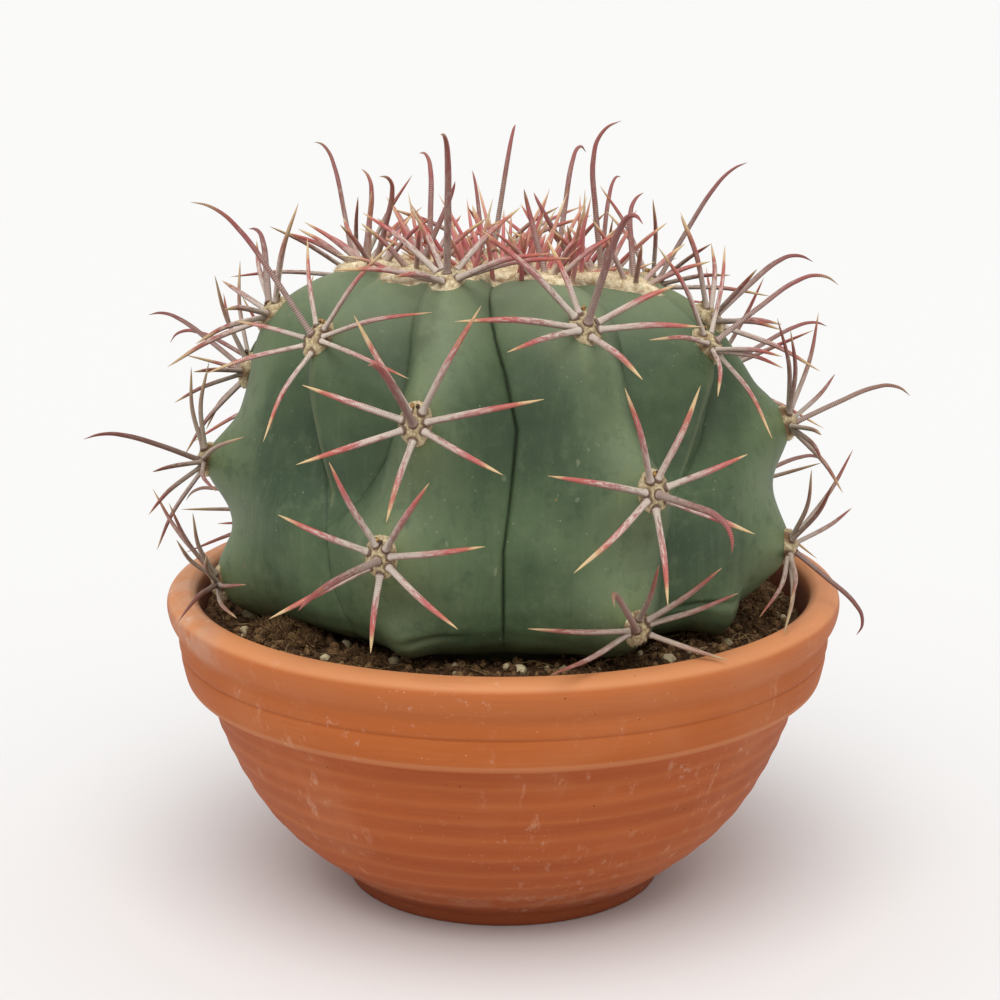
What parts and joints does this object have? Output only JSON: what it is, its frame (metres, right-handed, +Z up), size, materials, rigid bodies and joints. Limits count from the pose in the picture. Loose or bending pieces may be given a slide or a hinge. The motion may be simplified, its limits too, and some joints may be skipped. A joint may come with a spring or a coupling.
{
  "type": "potted barrel cactus",
  "caption": "Ribbed blue-green barrel cactus with long hooked spines in felt areoles, standing in gritty soil in a round terracotta bowl with a collared rim.",
  "frame": {"origin": "on the pot's axis in the plane of the pot's foot", "axes": "+Z up along the pot's axis, -Y towards the side seen in the picture, +X to its right"},
  "size_m": [0.354, 0.3857, 0.3476],
  "materials": {
    "terracotta": "matte fired clay",
    "cactus_skin": "waxy matte blue-green skin",
    "potting_soil": "rough fibrous soil with gravel",
    "crown_wool": "cream felt with young red spines",
    "spines": "ringed horn, mauve to red with straw tips"
  },
  "bodies": {
    "root": {"pot": "terracotta", "soil": "potting_soil", "cactus_body": "cactus_skin", "crown": "crown_wool", "back_crown": "spines", "back_left_low": "spines", "back_left_middle": "spines", "back_left_upper": "spines", "back_low": "spines", "back_right_low": "spines", "back_right_middle": "spines", "back_right_upper": "spines", "back_upper": "spines", "crown_ring_1": "spines", "crown_ring_10": "spines", "crown_ring_11": "spines", "crown_ring_2": "spines", "crown_ring_4": "spines", "crown_ring_5": "spines", "crown_ring_6": "spines", "crown_ring_7": "spines", "crown_ring_8": "spines", "front_crown": "spines", "front_low": "spines", "front_upper": "spines", "left_low": "spines", "left_middle": "spines", "left_upper": "spines", "right_front_low": "spines", "right_front_middle": "spines", "right_front_upper": "spines", "right_low": "spines", "right_middle": "spines", "right_upper": "spines", "young_back_left": "spines", "young_back_right": "spines", "young_left": "spines", "young_right": "spines"}
  },
  "joints": []
}
